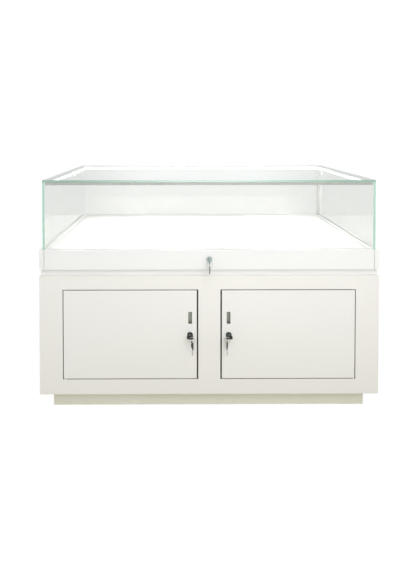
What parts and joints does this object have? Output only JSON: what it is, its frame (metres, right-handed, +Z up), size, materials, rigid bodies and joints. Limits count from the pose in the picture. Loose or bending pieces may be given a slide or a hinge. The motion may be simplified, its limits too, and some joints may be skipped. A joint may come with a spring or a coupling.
{
  "type": "glass display showcase",
  "caption": "Lacquered counter with hinged doors, a pull-out lit display deck and a frameless glass hood, all lockable.",
  "frame": {"origin": "on the floor, at the middle of the plinth", "axes": "+X to the right of a person facing the front, +Y from the front to the rear, +Z up"},
  "size_m": [1.3, 0.6365, 0.892],
  "materials": {
    "lacquer": "satin white lacquer on board",
    "glass": "clear float glass with polished green edges",
    "bar_aluminium": "satin anodised",
    "led_strip": "white circuit strip with light emitters",
    "diffuser": "opal",
    "cable_sheath": "white cable sheath",
    "driver_case": "white moulded case",
    "slide_steel": "zinc plated",
    "lock_chrome": "polished",
    "key_black": "black moulded head, nickel blade",
    "ring_nickel": "nickel",
    "pull_metal": "satin grey",
    "pivot_steel": "turned",
    "bush_nylon": "natural nylon",
    "strike_steel": "zinc plated"
  },
  "bodies": {
    "cabinet": {"plinth_long_boards": "lacquer", "plinth_cross_boards": "lacquer", "bottom_panel": "lacquer", "left_side_panel": "lacquer", "right_side_panel": "lacquer", "rear_panel": "lacquer", "front_frame": "lacquer", "centre_partition": "lacquer", "top_board": "lacquer", "left_deck_rail": "lacquer", "right_deck_rail": "lacquer", "rear_deck_rail": "lacquer", "glass_left": "glass", "glass_right": "glass", "glass_rear": "glass", "glass_top": "glass", "led_channel_front": "bar_aluminium", "led_channel_rear": "bar_aluminium", "led_channels_side": "bar_aluminium", "led_strips": "led_strip", "led_diffusers": "diffuser", "cable_duct": "bar_aluminium", "led_driver": "driver_case", "led_cable": "cable_sheath", "slide_outer_members": "slide_steel", "pivot_bushes": "bush_nylon", "door_strikes": "strike_steel"},
    "slide_middle": {"slide_middle_members": "slide_steel"},
    "deck": {"deck_front_panel": "lacquer", "deck_panel": "lacquer", "deck_tray_boards": "lacquer", "glass_front": "glass", "slide_inner_members": "slide_steel", "deck_lock_body": "lock_chrome", "deck_lock_nut": "lock_chrome"},
    "left_door": {"left_door_panel": "lacquer", "left_door_pull": "pull_metal", "left_door_pivot_pins": "pivot_steel", "left_lock_body": "lock_chrome", "left_lock_nut": "lock_chrome"},
    "right_door": {"right_door_panel": "lacquer", "right_door_pull": "pull_metal", "right_door_pivot_pins": "pivot_steel", "right_lock_body": "lock_chrome", "right_lock_nut": "lock_chrome"},
    "left_lock_core": {"left_lock_plug": "lock_chrome", "left_lock_cam": "lock_chrome"},
    "left_key_in_lock": {"left_key": "key_black"},
    "left_hanging_keys": {"left_key_ring": "ring_nickel", "left_spare_key": "key_black"},
    "right_lock_core": {"right_lock_plug": "lock_chrome", "right_lock_cam": "lock_chrome"},
    "right_key_in_lock": {"right_key": "key_black"},
    "right_hanging_keys": {"right_key_ring": "ring_nickel", "right_spare_key": "key_black"},
    "deck_lock_core": {"deck_lock_plug": "lock_chrome", "deck_lock_cam": "lock_chrome"},
    "deck_key_in_lock": {"deck_key": "key_black"},
    "deck_hanging_keys": {"deck_key_ring": "ring_nickel", "deck_spare_key": "key_black"}
  },
  "joints": [
    {"name": "deck_slide", "type": "slide", "parent": "cabinet", "child": "deck", "axis": [0, -1, 0], "range_m": [0, 0.45]},
    {"name": "middle_member_slide", "type": "slide", "parent": "cabinet", "child": "slide_middle", "axis": [0, -1, 0], "range_m": [0, 0.225]},
    {"name": "left_door_hinge", "type": "hinge", "parent": "cabinet", "child": "left_door", "pos_m": [-0.553, -0.295, 0.3005], "axis": [0, 0, -1], "range_deg": [0, 105]},
    {"name": "right_door_hinge", "type": "hinge", "parent": "cabinet", "child": "right_door", "pos_m": [0.553, -0.295, 0.3005], "axis": [0, 0, 1], "range_deg": [0, 105]},
    {"name": "left_lock_turn", "type": "hinge", "parent": "left_door", "child": "left_lock_core", "pos_m": [-0.074, -0.3, 0.3], "axis": [0, 1, 0], "range_deg": [0, 90]},
    {"name": "left_key_pull", "type": "slide", "parent": "left_lock_core", "child": "left_key_in_lock", "axis": [0, -1, 0], "range_m": [0, 0.03]},
    {"name": "left_ring_swing", "type": "hinge", "parent": "left_key_in_lock", "child": "left_hanging_keys", "pos_m": [-0.074, -0.324, 0.3], "axis": [0, 1, 0], "range_deg": [-90, 0]},
    {"name": "right_lock_turn", "type": "hinge", "parent": "right_door", "child": "right_lock_core", "pos_m": [0.074, -0.3, 0.3], "axis": [0, -1, 0], "range_deg": [0, 90]},
    {"name": "right_key_pull", "type": "slide", "parent": "right_lock_core", "child": "right_key_in_lock", "axis": [0, -1, 0], "range_m": [0, 0.03]},
    {"name": "right_ring_swing", "type": "hinge", "parent": "right_key_in_lock", "child": "right_hanging_keys", "pos_m": [0.074, -0.324, 0.3], "axis": [0, -1, 0], "range_deg": [-90, 0]},
    {"name": "deck_lock_turn", "type": "hinge", "parent": "deck", "child": "deck_lock_core", "pos_m": [0, -0.3, 0.59], "axis": [0, -1, 0], "range_deg": [0, 90]},
    {"name": "deck_key_pull", "type": "slide", "parent": "deck_lock_core", "child": "deck_key_in_lock", "axis": [0, -1, 0], "range_m": [0, 0.03]},
    {"name": "deck_ring_swing", "type": "hinge", "parent": "deck_key_in_lock", "child": "deck_hanging_keys", "pos_m": [0, -0.324, 0.59], "axis": [0, -1, 0], "range_deg": [-45, 0]}
  ],
  "couplings": [
    {"joint": "middle_member_slide", "follows": "deck_slide", "ratio": 0.5},
    {"joint": "left_ring_swing", "follows": "left_lock_turn", "ratio": -1},
    {"joint": "right_ring_swing", "follows": "right_lock_turn", "ratio": -1},
    {"joint": "deck_ring_swing", "follows": "deck_lock_turn", "ratio": -0.5}
  ]
}
